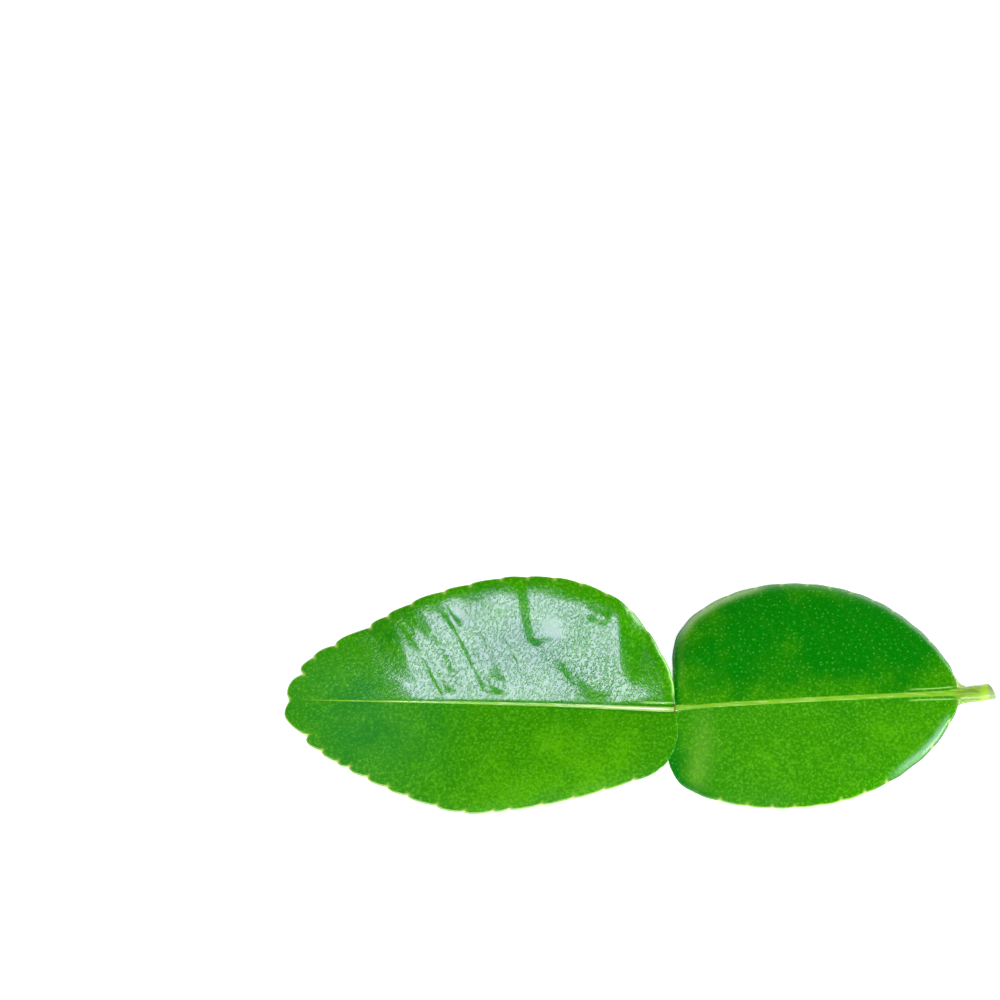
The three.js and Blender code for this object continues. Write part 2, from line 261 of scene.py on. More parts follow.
def spline_table(points, count=2400):
    """A smooth curve through the points, as points evenly spaced along it, with its length."""
    p = np.array(points, float)
    p = np.vstack([2 * p[0] - p[1], p, 2 * p[-1] - p[-2]])
    t = np.linspace(0, 1, 100, endpoint=False)[:, None]
    runs = []
    for a, b, c, d in zip(p, p[1:], p[2:], p[3:]):
        runs.append(0.5 * (2 * b + (c - a) * t + (2 * a - 5 * b + 4 * c - d) * t ** 2
                           + (3 * b - a - 3 * c + d) * t ** 3))
    line = np.vstack(runs + [p[-2:-1]])
    run = np.concatenate([[0], np.cumsum(np.linalg.norm(np.diff(line, axis=0), axis=1))])
    at = np.linspace(0, run[-1], count)
    return np.stack([np.interp(at, run, column) for column in line.T], 1), run[-1]


MIDRIB_LINE, _ = spline_table(MIDRIB)
RIB_LINE, _ = spline_table(RIB_SIZE)


def at_x(table, x):
    """The table's other values where its first is x."""
    return [np.interp(x, table[:, 0], table[:, k]) for k in range(1, table.shape[1])]


def between(pairs, x):
    """Straight runs through (x, value) pairs."""
    xs, values = zip(*pairs)
    return np.interp(x, xs, values)


def smoothstep(value, low, high):
    """0 below low, 1 above high, eased between them."""
    t = np.clip((value - low) / (high - low), 0, 1)
    return t * t * (3 - 2 * t)


def bow_at(table, station):
    """Slopes and turn at each station, eased between the rows of the table."""
    rows = np.array(table, float)
    after = np.clip(np.searchsorted(rows[:, 0], station), 1, len(rows) - 1)
    a, b = rows[after - 1], rows[after]
    mixed = a + (b - a) * smoothstep(station, a[:, 0], b[:, 0])[:, None]
    return mixed[:, 1], mixed[:, 2], mixed[:, 3]


def bow_height(share, width, bow):
    """Height over the midrib at a share of the way out to the edge."""
    inner, outer, turn = bow
    start, end = np.tan(np.radians(inner)), np.tan(np.radians(outer))
    return width * (start * share + (end - start) * share ** (turn + 1) / (turn + 1))


# ---------------------------------------------------------------------------
# Edges
# ---------------------------------------------------------------------------

def tooth_stations(teeth, edge_length):
    """Per tooth from the base: (base end, tip end, notch depth at the base end, at the tip end)."""
    rest = TEETH - len(teeth)
    even = (edge_length - sum(length for length, _ in teeth)) / rest
    rows, from_tip, tip_depth = [], 0, TIP_NOTCH
    for i, (length, depth) in enumerate(teeth + [(even, SHALLOW_NOTCH)] * rest):
        last = i == TEETH - 1
        tip = 1 - from_tip / edge_length
        from_tip += length
        base = 0 if last else 1 - from_tip / edge_length
        rows.append((base, tip, 0 if last else depth, tip_depth))
        tip_depth = depth
    return np.array(rows[::-1])


def tooth_inset(along, base_depth, tip_depth):
    """A rounded tooth that points to the tip: it swells slowly and ends in a round nose."""
    drop = np.clip((along - TOOTH_SHOULDER) / (1 - TOOTH_SHOULDER), 0, 1)
    swell = base_depth * (1 - along) ** TOOTH_SWELL
    return swell + tip_depth * (1 - np.sqrt(1 - drop ** 2))


def edge_points(points, stations, inset):
    """Smooth and toothed edge at the stations, as offsets from the midrib."""
    table, _ = spline_table(points)
    index = np.linspace(0, 1, len(table))
    smooth = np.stack([np.interp(stations, index, column) for column in table.T], 1)
    slope = np.gradient(table, axis=0)
    slope /= np.linalg.norm(slope, axis=1)[:, None]
    along = np.stack([np.interp(stations, index, column) for column in slope.T], 1)
    inward = np.stack([along[:, 1], -along[:, 0]], 1)
    return smooth, smooth + inward * inset[:, None]


def blade_edges():
    """For the far and the near half of the blade, from base to tip: stations, smooth edge, toothed
    edge, and distance from the nearest notch."""
    halves = []
    for points, teeth in ((BLADE_FAR, FAR_TEETH), (BLADE_NEAR, NEAR_TEETH)):
        _, length = spline_table(points)
        rows = tooth_stations(teeth, length)
        along = np.append(np.tile(TOOTH_STEPS, TEETH), 1.0)
        base, tip, base_depth, tip_depth = np.vstack(
            [np.repeat(rows, len(TOOTH_STEPS), axis=0), rows[-1:]]).T
        stations = base + (tip - base) * along
        inset = tooth_inset(along, base_depth, tip_depth)
        notch = np.minimum(along * (tip - base), (1 - along) * (tip - base)) * length
        halves.append((stations, *edge_points(points, stations, inset), notch))
    return halves


def wing_edges():
    """The same for the wing. Its edge is almost entire: it only waves a little."""
    stations = np.linspace(0, 1, WING_SECTIONS + 1)
    halves = []
    drift, often = WAVE_DRIFT
    for points, start in ((WING_FAR, FAR_WAVE_START), (WING_NEAR, NEAR_WAVE_START)):
        _, length = spline_table(points)
        wave = np.sin(stations * length * 2 * math.pi / WING_WAVE_LENGTH + start
                      + drift * np.sin(stations * often + start))
        inset = WING_WAVE_DEPTH * (1 - wave) * smoothstep(stations, *WAVES_START)
        inset *= 1 - smoothstep(stations, *WAVES_END)
        notch = np.where(wave < WAVE_NOTCH, 0.0, NO_NOTCH)
        halves.append((stations, *edge_points(points, stations, inset), notch))
    return halves


# ---------------------------------------------------------------------------
# Relief
# ---------------------------------------------------------------------------

def side_veins(x, out, width, side):
    """The line of each side vein, 1 on it, and how far it and its trough lie sunken."""
    share = np.clip(out / np.maximum(width, 1e-6), 0, 1)
    foot = x + VEIN_SLANT * out + VEIN_CURL * share ** 3
    phase = (foot - VEIN_START) / VEIN_SPACING
    if side < 0:
        sway, often = NEAR_VEIN_SWAY
        phase = phase + NEAR_VEIN_LAG + sway * np.sin(phase * often)
    number = np.round(phase)
    away = (phase - number) * VEIN_SPACING
    fade = smoothstep(out, *VEIN_FOOT) * (1 - VEIN_END_FADE * smoothstep(share, *VEIN_END))
    fade = fade * smoothstep(np.abs(foot), *VEIN_AT_JOINT)
    fade = fade * np.where(x < 0, 1, WING_VEIN_STRENGTH)
    line = np.exp(-(away / VEIN_WIDTH) ** 2) * fade
    depth = NEAR_TROUGH
    if side > 0:
        numbers = FIRST_TROUGH + np.arange(len(FAR_TROUGHS))
        depth = np.where(x < 0, np.interp(number, numbers, FAR_TROUGHS), NEAR_TROUGH)
    trough = depth * np.exp(-((away - TROUGH_SHIFT) / TROUGH_SIZE) ** 2)
    trough = trough * smoothstep(out, *TROUGH_FOOT) * fade
    return line, trough + (VEIN_SINK + VEIN_SINK_IN_TROUGH * depth) * line


def folds(x, y):
    """Depth of the folds: each drops steeply on the side of the tip and climbs back slowly."""
    depth = 0
    for (x0, y0), (x1, y1), deep, steep, slow in FOLDS:
        length = math.hypot(x1 - x0, y1 - y0)
        ux, uy = (x1 - x0) / length, (y1 - y0) / length
        along = (x - x0) * ux + (y - y0) * uy
        across = (y - y0) * ux - (x - x0) * uy
        beyond = np.maximum(np.maximum(-along, along - length), 0)
        away = np.hypot(across / np.where(across < 0, steep, slow), beyond / steep)
        depth = depth + deep * np.clip(1 - away, 0, 1)
    return depth


def swells(x, y):
    """Single low domes and hollows of the lamina."""
    return sum(height * np.exp(-((x - sx) ** 2 + (y - sy) ** 2) / radius ** 2)
               for sx, sy, radius, height in SWELLS)


def skin_grain(x, y, side):
    """How coarse the grain of the skin is."""
    on_blade = (FULL_GRAIN - FINE_GRAIN) * (1 - smoothstep(x, *BLADE_GRAIN_END)) * (side > 0)
    grain = FINE_GRAIN + on_blade + STALK_GRAIN * smoothstep(x, *STALK_GRAIN_START)
    for sx, sy, radius, change in GRAIN_SPOTS:
        away = ((x - sx) ** 2 + (y - sy) ** 2) / radius ** 2
        grain = grain * (1 + change * np.exp(-away ** 2))
    return grain


def bloom(x, y, out, to_edge, side):
    """How strongly the painted sheen lies: pale patches and rim bands that stand in for soft
    reflections and rim highlights.
    """
    thick = sum(strength * np.exp(-((x - px) / rx) ** 2 - ((y - py) / ry) ** 2)
                for px, py, rx, ry, strength in PAINTED_SHEEN_PATCHES)
    inset, spread = FAR_RIM_PAINTED_SHEEN_PLACE if side > 0 else NEAR_RIM_PAINTED_SHEEN_PLACE
    rim = between(FAR_RIM_PAINTED_SHEEN if side > 0 else NEAR_RIM_PAINTED_SHEEN, x)
    rim = rim * np.exp(-((to_edge - inset) / spread) ** 2)
    return thick + rim * smoothstep(out, *RIM_PAINTED_SHEEN_FOOT)


def pigment_and_painted_shading(x, y):
    """How deep the green is, from -1, yellowish, to 1, deep: partly the leaf's own green, partly
    painted shading.
    """
    depth = np.zeros_like(x)
    for px, py, radius, strength in GREEN_AND_SHADING_PATCHES:
        depth += strength * np.exp(-((x - px) ** 2 + (y - py) ** 2) / radius ** 2)
    return np.clip(depth, -1, 1)


def wing_base_painted_shade(x, out, to_edge, side, direction):
    """Painted shade: the wing is deeper green along its base margin, on the near half only away from
    the rib.
    """
    depth = WING_BASE_SHADE * np.exp(-(to_edge / WING_BASE_BAND) ** 2) * (direction > 0)
    depth = depth * (1 - smoothstep(x, *WING_BASE_END))
    return depth if side > 0 else depth * smoothstep(out, *NEAR_WING_BASE_FOOT)


def margin_distance(x, y, rim):
    """Distance of every point of the grid from the nearest stretch of the margin."""
    start, run = rim[:-1], np.diff(rim, axis=0)
    nearest = np.full(x.shape, np.inf)
    for (sx, sy), (rx, ry) in zip(start, run):
        t = np.clip(((x - sx) * rx + (y - sy) * ry) / max(rx * rx + ry * ry, 1e-9), 0, 1)
        nearest = np.minimum(nearest, np.hypot(x - sx - rx * t, y - sy - ry * t))
    return nearest


def rim_roll(x, to_edge, side):
    """How far the rim curls down."""
    table = np.array(FAR_ROLL if side > 0 else NEAR_ROLL, float)
    height, width = at_x(table, x)
    return height * np.clip(1 - to_edge / width, 0, 1) ** 2


def unevenness(x, y, size, seed):
    """Smooth noise over the leaf, about -1 to 1."""
    flat = [noise.noise(Vector((a / size, b / size, seed))) for a, b in zip(x.ravel(), y.ravel())]
    return np.array(flat).reshape(x.shape)


def lamina_relief(x, y, trough, side):
    """Height of the lamina's ripples, dimples, troughs and swells."""
    ripple = RIPPLE_HEIGHT * unevenness(x, y, RIPPLE_SIZE, 3.0 + side)
    dimple = DIMPLE_HEIGHT * unevenness(x, y, DIMPLE_SIZE, 7.0 + side)
    strength, size = TROUGH_UNEVENNESS
    trough = trough * (1 + strength * unevenness(x, y, size, 5.0))
    return ripple + dimple - trough + swells(x, y)


def ridge_width(x):
    """Half the width of the pale midrib above, from a hair at the tip to the stalk's own."""
    return np.where(x < 0, between(BLADE_RIDGE, x), between(WING_RIDGE, x))


def ridge_relief(across, x, ridge):
    """The midrib's ridge above, and on the blade the lamina's climb to it."""
    height = between(RIDGE_HEIGHT, x) * ridge * np.exp(-(across / ridge) ** 4)
    beyond = np.maximum(across - ridge, 0) / between(RIDGE_FOOT_WIDTH, x)
    foot = between(RIDGE_FOOT, x) * (across > 0) * np.exp(-beyond ** 2)
    return (height + foot) * (1 - smoothstep(x, *RIDGE_END))


def side_ridges(signed_out, x, to_edge):
    """Fine ridges beside the midrib: one by the blade's base, a pair where the wing ends. The
    thick rim of the blade's base, on the far side, counts as one too. The materials paint all of
    them pale as a painted highlight."""
    blade = np.exp(-((signed_out - between(BLADE_SIDE_RIDGE, x)) / SIDE_RIDGE_WIDTH) ** 2)
    blade = blade * smoothstep(x, *BLADE_SIDE_RIDGE_START)
    blade = blade * (1 - smoothstep(x, *BLADE_SIDE_RIDGE_END))
    away = (np.abs(signed_out) - between(WING_SIDE_RIDGES, x)) / SIDE_RIDGE_WIDTH
    wing = np.exp(-away ** 2) * smoothstep(x, *WING_SIDE_RIDGE_START)
    wing = wing * (1 - smoothstep(x, *WING_SIDE_RIDGE_END))
    base = np.exp(-((to_edge - BASE_RIM_INSET) / BASE_RIM_WIDTH) ** 2)
    base = base * smoothstep(x, *BASE_RIM_START) * (x < 0)
    return blade + wing + base * smoothstep(signed_out, *BASE_RIM_FOOT)


# ---------------------------------------------------------------------------
# Cross-sections
# ---------------------------------------------------------------------------

def distances_out(foot, width):
    """Distances from the midrib of every point of a half section, close together within the rib
    and at the rim."""
    rim = np.minimum(RIM_WIDTH, MOST_RIM * (width - foot))
    lamina = foot[:, None] + (width - rim - foot)[:, None] * (
        np.linspace(0, 1, LAMINA_STEPS + 1)[1:-1][None, :])
    edge = width[:, None] - rim[:, None] * np.array(EDGE_STEPS)[None, :] / RIM_WIDTH
    return np.hstack([foot[:, None] * np.array(RIB_SHARES)[None, :], lamina, edge])


def half_sections(middle, smooth, cut, notch, side, direction, bow, slant=None):
    """Upper and lower points of one half of every section, from the midrib to the edge, with the
    facts that the materials read. Side is 1 for the far half; direction is 1 for the wing."""
    x0, y0 = middle[:, 0], middle[:, 1]
    rim_y, _ = at_x(MIDRIB_LINE, direction * cut[:, 0])
    reach_x = direction * cut[:, 0] - x0
    reach_y = rim_y + side * cut[:, 1] - y0
    width = np.hypot(reach_x, reach_y)
    rib_width, rib_depth = at_x(RIB_LINE, x0)
    round_off = smoothstep(x0, FLARE_START, WING_LENGTH)
    foot = np.minimum(rib_width, (RIB_LIMIT + STALK_RIB_MORE * round_off) * width)
    out = distances_out(foot, width)
    share = out / width[:, None]
    x = x0[:, None] + reach_x[:, None] * share
    y = y0[:, None] + reach_y[:, None] * share
    to_edge = margin_distance(x, y, np.stack([x[:, -1], y[:, -1]], 1))

    # the bowed sheet and the rib below it; the stalk, where round_off is 1, is round above too
    _, base_z = at_x(MIDRIB_LINE, x)
    reach = share * np.minimum(1, cut[:, 1] / smooth[:, 1])[:, None]
    top = base_z + bow_height(reach, smooth[:, 1:2], [b[:, None] for b in bow])
    bulge = np.sqrt(np.clip(1 - (out / foot[:, None]) ** 2, 0, 1))
    sheet = (LAMINA_THICKNESS * (1 - round_off) + STALK_RIM * round_off)[:, None]
    depth = sheet + (rib_depth[:, None] - sheet) * bulge
    top = top - round_off[:, None] * (rib_depth[:, None] - depth) / 2

    line, trough = side_veins(x, out, width[:, None], side)
    soft = smoothstep(to_edge, *CALM_RIM) * smoothstep(out, *CALM_MIDRIB)
    soft = soft * (1 - round_off[:, None])
    shared = lamina_relief(x, y, trough, side) * soft - folds(x, y) * (side > 0)
    shared = shared - rim_roll(x, to_edge, side)
    ridge = ridge_width(x0)[:, None]
    across = side * out - between(RIDGE_SHIFT, x)
    flank = side_ridges(side * out, x, to_edge)
    upper = top + shared + ridge_relief(across, x, ridge) + SIDE_RIDGE_HEIGHT * flank
    lower = top - depth + shared - VEIN_RIDGE * line * (1 - round_off[:, None])

    # the margin is round: both faces close in on its middle
    close = np.sqrt(np.clip(1 - (1 - np.clip(to_edge / ROUND_MARGIN, 0, 1)) ** 2, 0, 1))
    middle_z = (upper + lower) / 2
    half_depth = (upper - lower) / 2 * (BLUNT_EDGE + (1 - BLUNT_EDGE) * close)
    if slant is not None:
        x = x - slant[:, None] * (share * reach_y[:, None])
    spot_length, spot_width = NOTCH_SPOT
    in_notch = np.exp(-(notch[:, None] / spot_length) ** 2) * np.exp(-(to_edge / spot_width) ** 2)
    facts = {
        "ridge": np.abs(across) / ridge, "edge": to_edge, "vein": line, "flank": flank,
        "notch": in_notch, "along": x, "grain": skin_grain(x, y, side),
        # deep: the green's depth with painted shading in it, and painted shade along the wing's base
        "deep": pigment_and_painted_shading(x, y) + wing_base_painted_shade(x, out, to_edge, side, direction),
        # the next fact is painted sheen, a pale haze standing in for reflections
        "bloom": bloom(x, y, out, to_edge, side),
    }
    upper_points = np.stack([x, y, middle_z + half_depth], 2)
    lower_points = np.stack([x, y, middle_z - half_depth], 2)
    return upper_points, lower_points, facts


def sections(far, near, direction, length, far_bow, near_bow):
    """All sections of blade or wing, from the joint scar outwards."""
    station = (far[0] + near[0]) / 2
    along = NECK + (length - NECK) * station ** STATION_CROWDING
    x = direction * along
    middle = np.stack([x, *at_x(MIDRIB_LINE, x)], 1)
    far_half = half_sections(
        middle, far[1], far[2], far[3], 1, direction, bow_at(far_bow, station))
    near_half = half_sections(
        middle, near[1], near[2], near[3], -1, direction, bow_at(near_bow, station))
    return join_halves(near_half, far_half)


def stalk_sections():
    """The stub beyond the wing, cut off at a slant."""
    share = np.linspace(0, 1, STALK_SECTIONS + 1)[1:]
    x = WING_LENGTH + (STALK_END - WING_LENGTH) * share
    middle = np.stack([x, *at_x(MIDRIB_LINE, x)], 1)
    edge = np.stack([x, at_x(RIB_LINE, x)[0]], 1)
    level = (np.zeros_like(x), np.zeros_like(x), np.ones_like(x))
    no_notch = np.full_like(x, NO_NOTCH)
    halves = [half_sections(middle, edge, edge, no_notch, side, 1, level, CUT_SLANT * share)
              for side in (-1, 1)]
    return join_halves(*halves)


def across_midrib(near, far):
    """Rows of both halves as one, from the near edge to the far edge."""
    return np.concatenate([near[:, :0:-1], far], axis=1)


def join_halves(near, far):
    facts = {name: across_midrib(near[2][name], far[2][name]) for name in far[2]}
    return across_midrib(near[0], far[0]), across_midrib(near[1], far[1]), facts


# ---------------------------------------------------------------------------
# Mesh
# ---------------------------------------------------------------------------

def skin_faces(rows, across):
    """Quads of a closed skin over the sections: upper face, lower face, edges and ends."""
    grid = np.arange(rows * across).reshape(rows, across)
    low = grid + rows * across
    a, b, c, d = grid[:-1, :-1], grid[1:, :-1], grid[1:, 1:], grid[:-1, 1:]
    upper = np.stack([a, b, c, d], -1).reshape(-1, 4)
    e, f, g, h = low[:-1, :-1], low[:-1, 1:], low[1:, 1:], low[1:, :-1]
    lower = np.stack([e, f, g, h], -1).reshape(-1, 4)
    walls = [
        np.stack([grid[:-1, 0], low[:-1, 0], low[1:, 0], grid[1:, 0]], -1),
        np.stack([grid[:-1, -1], grid[1:, -1], low[1:, -1], low[:-1, -1]], -1),
        np.stack([grid[0, :-1], grid[0, 1:], low[0, 1:], low[0, :-1]], -1),
        np.stack([grid[-1, :-1], low[-1, :-1], low[-1, 1:], grid[-1, 1:]], -1),
    ]
    return upper, lower, np.vstack(walls)


def make_leaf():
    """The whole leaf as one closed skin: blade, wing and stalk."""
    far, near = blade_edges()
    blade = sections(far, near, -1, BLADE_LENGTH - TIP_NOTCH, BLADE_FAR_BOW, BLADE_NEAR_BOW)
    far, near = wing_edges()
    wing = sections(far, near, 1, WING_LENGTH, WING_FAR_BOW, WING_NEAR_BOW)
    stalk = stalk_sections()
    upper_points = np.concatenate([blade[0][::-1], wing[0], stalk[0]])
    lower_points = np.concatenate([blade[1][::-1], wing[1], stalk[1]])
    facts = {name: np.concatenate([blade[2][name][::-1], wing[2][name], stalk[2][name]])
             for name in blade[2]}
    points = np.vstack([upper_points.reshape(-1, 3), lower_points.reshape(-1, 3)])
    points -= [(points[:, k].min() + points[:, k].max()) / 2 for k in (0, 1)] + [points[:, 2].min()]
    upper, lower, walls = skin_faces(*upper_points.shape[:2])

    mesh = bpy.data.meshes.new("lime_leaf_skin")
    mesh.from_pydata((points * MM).tolist(), [], np.vstack([upper, walls, lower]).tolist())
    mesh.materials.append(upper_face_material())
    mesh.materials.append(underside_material())
    slots = np.zeros(len(mesh.polygons), np.int32)
    slots[len(upper) + len(walls):] = 1
    mesh.polygons.foreach_set("material_index", slots)
    mesh.polygons.foreach_set("use_smooth", np.ones(len(mesh.polygons), bool))
    for name, values in facts.items():
        layer = mesh.attributes.new("leaf_" + name, "FLOAT", "POINT")
        layer.data.foreach_set("value", np.tile(values.ravel(), 2).astype(np.float32))
    mesh.update()
    leaf = bpy.data.objects.new("makrut_lime_leaf", mesh)
    bpy.context.scene.collection.objects.link(leaf)
    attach(leaf, "root")
    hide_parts("lime_leaf")
    return leaf


# ---------------------------------------------------------------------------
# Materials
# ---------------------------------------------------------------------------

# Sizes in the skin, in millimetres.
CLOUD_SIZE = 5.0              # patches of deeper and yellower green
FLECK_SIZE = 0.45             # darker and paler flecks within them
GLAND_SPACING = 1.0           # oil glands seen through the wax
FIBRE_SIZE = 0.3              # streaks of the midrib and the stalk
FIBRE_STRETCH = 9             # and how many times longer they are
GRAIN_SIZE = 0.36             # leathery grain of the wax
GRAIN_STRETCH = 1.7
GRAIN_ANGLE = 58              # it is drawn out at this angle to the midrib, in degrees
GRAIN_HEIGHT = 0.0122
DRIFT_SIZE = 9.0              # slow change of colour of the underside
LOWER_GLAND_SPACING = 1.2
NET_SIZE = 1.5                # meshes of the net of fine veins
NET_WANDER = 0.9              # and how its lines bend, by how much and over what length
NET_HEIGHT = 0.03
LIGHT_THROUGH = 0.10          # share of the light that a leaf lets through


def linear(hex_colour):
    """An sRGB hex colour as linear RGBA."""
    values = [int(hex_colour[i:i + 2], 16) / 255 for i in (1, 3, 5)]
    return tuple(v / 12.92 if v <= 0.04045 else ((v + 0.055) / 1.055) ** 2.4
                 for v in values) + (1.0,)


def add(tree, kind, settings=None, links=None):
    """Adds a node. Settings are its properties or unlinked inputs; links feed its inputs."""
    node = tree.nodes.new(kind)
    for name, value in (settings or {}).items():
        if name == "stops":
            ramp = node.color_ramp
            while len(ramp.elements) < len(value):
                ramp.elements.new(0.5)
            for element, (position, colour) in zip(ramp.elements, value):
                element.position = position
                element.color = linear(colour)
        elif isinstance(name, int) or name in node.inputs:
            node.inputs[name].default_value = value
        else:
            setattr(node, name, value)
    for name, socket in (links or {}).items():
        tree.links.new(socket, node.inputs[name])
    return node


def new_material(name):
    material = bpy.data.materials.new(name)
    material.use_nodes = True
    material.node_tree.nodes.clear()
    return material, material.node_tree


def presence(tree, skin, most, *places):
    """How fully a layer of the skin shows, from 0 to the most it may. Each place names a value of
    the skin, and mostly where nothing and where all of the layer shows."""
    shown = None
    for name, *limits in places:
        value = skin[name]
        if limits:
            value = add(tree, "ShaderNodeMapRange", {
                "interpolation_type": "SMOOTHSTEP", "From Min": limits[0], "From Max": limits[1],
            }, {"Value": value}).outputs["Result"]
        if shown is None:
            shown = value
        else:
            shown = add(tree, "ShaderNodeMath", {"operation": "MULTIPLY"},
                        {0: shown, 1: value}).outputs[0]
    if most < 1:
        shown = add(tree, "ShaderNodeMath", {"operation": "MULTIPLY", 1: most},
                    {0: shown}).outputs[0]
    return shown


def lay_over(tree, skin, colour, layers):
    """Colours laid over a first one in turn. A layer is its colour, the most it may show and its
    places; a colour is a hex value or one laid over already."""
    for top, most, *places in layers:
        settings, links = {"data_type": "RGBA"}, {0: presence(tree, skin, most, *places)}
        for index, paint in ((6, colour), (7, top)):
            if isinstance(paint, str):
                settings[index] = linear(paint)
            else:
                links[index] = paint
        colour = add(tree, "ShaderNodeMix", settings, links).outputs[2]
    return colour


def leaf_skin(tree, names):
    """Where on the leaf a point lies, and the facts of the mesh that its skin depends on."""
    place = add(tree, "ShaderNodeTexCoord").outputs["Object"]
    skin = {}
    for name in names:
        skin[name] = add(tree, "ShaderNodeAttribute",
                         {"attribute_name": "leaf_" + name}).outputs["Fac"]
    return place, skin


def shine_through(tree, surface, colour):
    """The leaf's surface, with the little light that a thin leaf lets through."""
    glow = add(tree, "ShaderNodeBsdfTranslucent", {}, {"Color": colour})
    both = add(tree, "ShaderNodeMixShader", {0: LIGHT_THROUGH},
               {1: surface.outputs[0], 2: glow.outputs[0]})
    add(tree, "ShaderNodeOutputMaterial", {}, {"Surface": both.outputs[0]})


def depth_of_green_and_shading(tree, place, deep):
    """The mesh's depth of green, partly painted shading, made cloudy."""
    cloud = add(tree, "ShaderNodeTexNoise", {"Scale": 1 / (CLOUD_SIZE * MM), "Detail": 3.0},
                {"Vector": place}).outputs["Fac"]
    cloud = add(tree, "ShaderNodeMapRange", {
        "From Min": 0.3, "From Max": 0.7, "To Min": -0.3, "To Max": 0.3,
    }, {"Value": cloud}).outputs["Result"]
    return add(tree, "ShaderNodeMath", {"operation": "ADD"}, {0: deep, 1: cloud}).outputs[0]


def oil_glands(tree, place):
    """Pinpricks about 0.3 mm across, some paler than others."""
    cells = add(tree, "ShaderNodeTexVoronoi", {
        "voronoi_dimensions": "2D", "Scale": 1 / (GLAND_SPACING * MM), "Randomness": 1.0,
    }, {"Vector": place})
    red = add(tree, "ShaderNodeSeparateColor", {}, {0: cells.outputs["Color"]}).outputs[0]
    gland = {"distance": cells.outputs["Distance"], "paleness": red}
    return presence(tree, gland, 1, ("distance", 0.22, 0.07), ("paleness", -0.3, 1))


def fibres(tree, place):
    """Fine streaks along the midrib and the stalk."""
    lengthways = add(tree, "ShaderNodeMapping", {
        "vector_type": "TEXTURE", "Scale": (FIBRE_STRETCH, 1, 1),
    }, {"Vector": place}).outputs["Vector"]
    return add(tree, "ShaderNodeTexNoise", {"Scale": 1 / (FIBRE_SIZE * MM), "Detail": 2.0},
               {"Vector": lengthways}).outputs["Fac"]


def lamina_colour(tree, skin):
    """Flecked green, cloudy from yellowish to deep, the depth partly painted shading. Over it come
    the glands, the side veins, the painted sheen, bluer at the tip and whiter at the stalk, and the
    pale margin, partly the leaf's own paler rim and partly painted edge light, dark as painted shade
    towards the stalk, with its paler notches."""
    pale_fleck = lay_over(tree, skin, "#60bc10", [("#149a0a", 1, ("depth", 0, 0.9))])
    gland = lay_over(tree, skin, "#68c030", [("#50b83c", 1, ("depth", 0, 0.9))])
    # colours of the painted sheen: bluer haze at the tip, whiter towards the stalk where it stands
    # in for rim highlights
    painted_sheen_colour = lay_over(tree, skin, "#88c142", [
        ("#a4d0b0", 1, ("along", 24, 34)),
        ("#4a9a60", 1, ("along", -30, -40)),
    ])
    # margin: partly the leaf's own paler rim, partly painted light on the edge; from the wing's end
    # on, a painted shade line along the rim's dark side
    margin_edge_light_and_shade = lay_over(tree, skin, "#98cc44", [("#1f5f1c", 1, ("along", 29, 35))])
    return lay_over(tree, skin, "#5cb800", [
        ("#3b9700", 1, ("depth", -0.9, 0)),
        ("#027c02", 1, ("depth", 0, 0.9)),
        # darkest green, reached only along the wing's base margin: painted shade
        ("#015c02", 1, ("depth", 1.2, 1.9)),
        ("#148200", 0.45, ("fleck", 0.55, 0.35)),
        (pale_fleck, 0.53, ("fleck", 0.5, 0.68)),
        (gland, 0.62, ("gland",)),
        ("#7cc03c", 0.07, ("vein",)),
        # painted sheen: pale haze standing in for reflections and rim highlights
        (painted_sheen_colour, 1, ("bloom",)),
        (margin_edge_light_and_shade, 0.85, ("edge", 0.28, 0.08), ("from_joint", 3, 12)),
        ("#cbe36a", 0.8, ("notch",), ("from_joint", 3, 6)),
    ])


def midrib_and_stalk(tree, skin, green):
    """The midrib is yellow green, and cream green on the blade near the joint. The green at its foot
    is painted shade, dark in the groove beside it. Over them come the side ridges with their painted
    highlight, the stalk and the brown joint scar."""
    midrib = lay_over(tree, skin, "#86c82c", [
        ("#bce276", 1, ("along", -22, -3), ("along", 0.3, -0.3)),
        ("#d8f09a", 0.45, ("fibre", 0.5, 0.7)),
        ("#5ca020", 0.35, ("fibre", 0.46, 0.3)),
    ])
    stalk = lay_over(tree, skin, "#74a030", [
        ("#94c038", 1, ("fibre", 0.35, 0.6)),
        ("#a4d43c", 1, ("along", 49.8, 51.2)),
        ("#93ab6c", 1, ("along", 51.5, 52.2)),
    ])
    return lay_over(tree, skin, green, [
        (midrib, 1, ("ridge", 1.25, 0.75), ("along", -62, -55)),
        # painted shade: darker green in the groove beside the blade's midrib
        ("#1f7c06", 0.6, ("ridge", 2.6, 1.6), ("ridge", 1, 1.3), ("along", -36, -12),
         ("along", 0, -0.3)),
        # painted highlight along the side ridges and the blade's thick base rim
        ("#a8ec70", 1, ("flank",)),
        (stalk, 1, ("along", 45.6, 47.4)),
        ("#77621a", 0.8, ("from_joint", 0.22, 0.08), ("ridge", 2.4, 1.8)),
    ])


